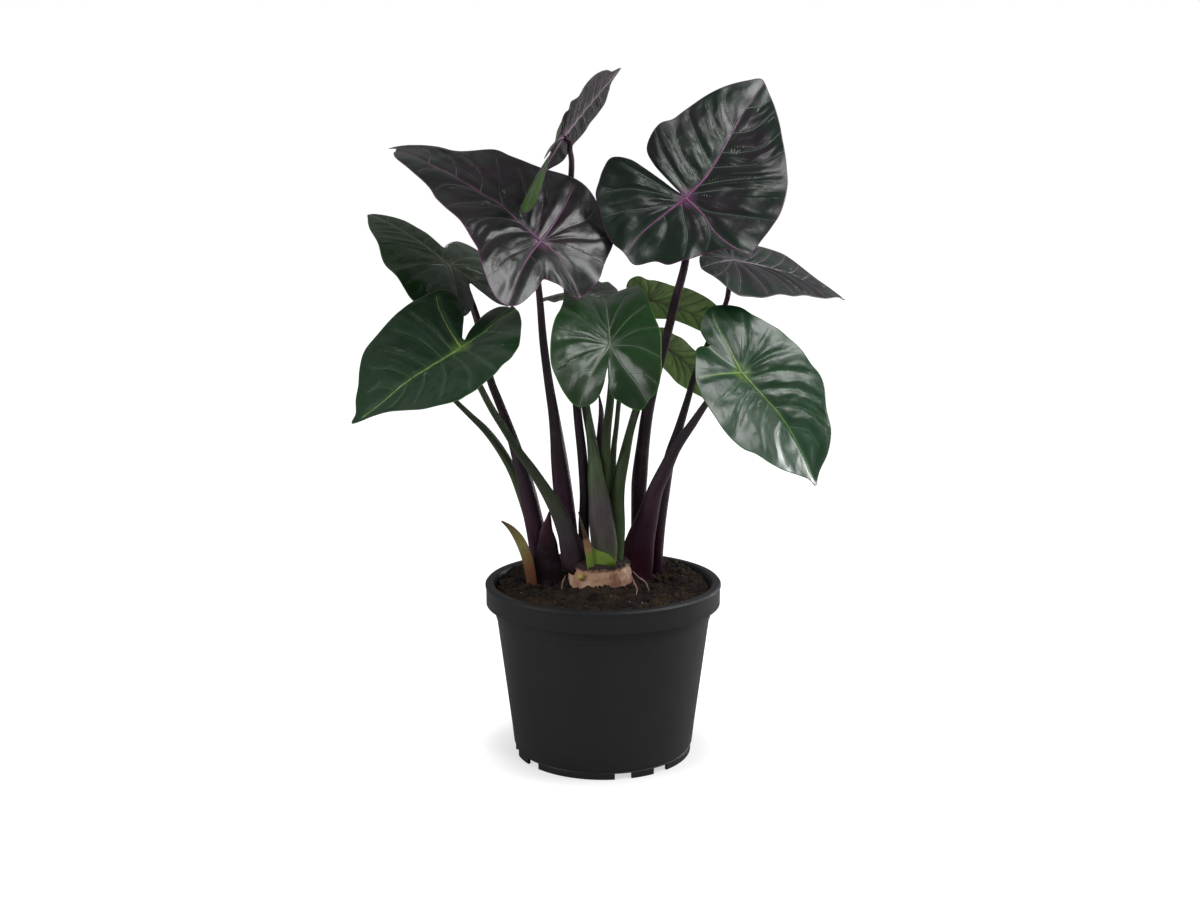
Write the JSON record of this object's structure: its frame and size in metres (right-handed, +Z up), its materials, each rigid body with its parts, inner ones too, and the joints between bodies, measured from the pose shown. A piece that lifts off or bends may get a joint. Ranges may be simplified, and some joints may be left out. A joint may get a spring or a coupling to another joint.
{
  "type": "potted regal shields alocasia",
  "caption": "Upright potted aroid with large shield-shaped glossy leaves on tall dark petioles, rising from a ringed corm in a round black nursery pot of soil.",
  "frame": {"origin": "centre of the flat floor that the pot stands on, on the pot's axis", "axes": "+Z up along the pot's axis; -Y towards the viewer of the picture; +X to that viewer's right"},
  "size_m": [0.5026, 0.3648, 0.691],
  "materials": {
    "pot": "satin black moulded polypropylene",
    "soil": "coarse dark potting mix",
    "corm": "dry fibrous skin",
    "petiole_dark": "smooth dark purple stalk",
    "petiole_olive": "smooth olive stalk",
    "petiole_mauve": "smooth mauve stalk",
    "sheath_purple": "papery purple sheath",
    "sheath_dry": "dry papery sheath",
    "bract": "fresh green bract",
    "blade_grey": "satin grey-green underside",
    "blade_dark": "glossy near-black leaf",
    "blade_green": "glossy deep green leaf",
    "blade_pale": "satin yellow-green underside"
  },
  "bodies": {
    "root": {"pot": "pot", "soil": "soil", "corm": "corm", "leaf_01_petiole": "petiole_dark", "leaf_02_petiole": "petiole_dark", "leaf_03_petiole": "petiole_dark", "leaf_04_petiole": "petiole_dark", "leaf_05_petiole": "petiole_dark", "leaf_06_petiole": "petiole_olive", "leaf_07_petiole": "petiole_dark", "leaf_08_petiole": "petiole_mauve", "leaf_09_petiole": "petiole_olive", "leaf_10_petiole": "petiole_olive", "leaf_11_petiole": "petiole_olive", "leaf_12_petiole": "petiole_olive", "rolled_leaf_tip": "petiole_dark", "cataphyll_purple": "sheath_purple", "cataphyll_dry": "sheath_dry", "cataphyll_strip": "sheath_dry", "bract_green": "bract", "leaf_01_blade": "blade_grey", "leaf_02_blade": "blade_dark", "leaf_03_blade": "blade_dark", "leaf_04_blade": "blade_green", "leaf_05_blade": "blade_green", "leaf_06_blade": "blade_green", "leaf_07_blade": "blade_grey", "leaf_08_blade": "blade_green", "leaf_09_blade": "blade_pale", "leaf_10_blade": "blade_pale", "leaf_11_blade": "blade_grey", "leaf_12_blade": "blade_green"}
  },
  "joints": []
}
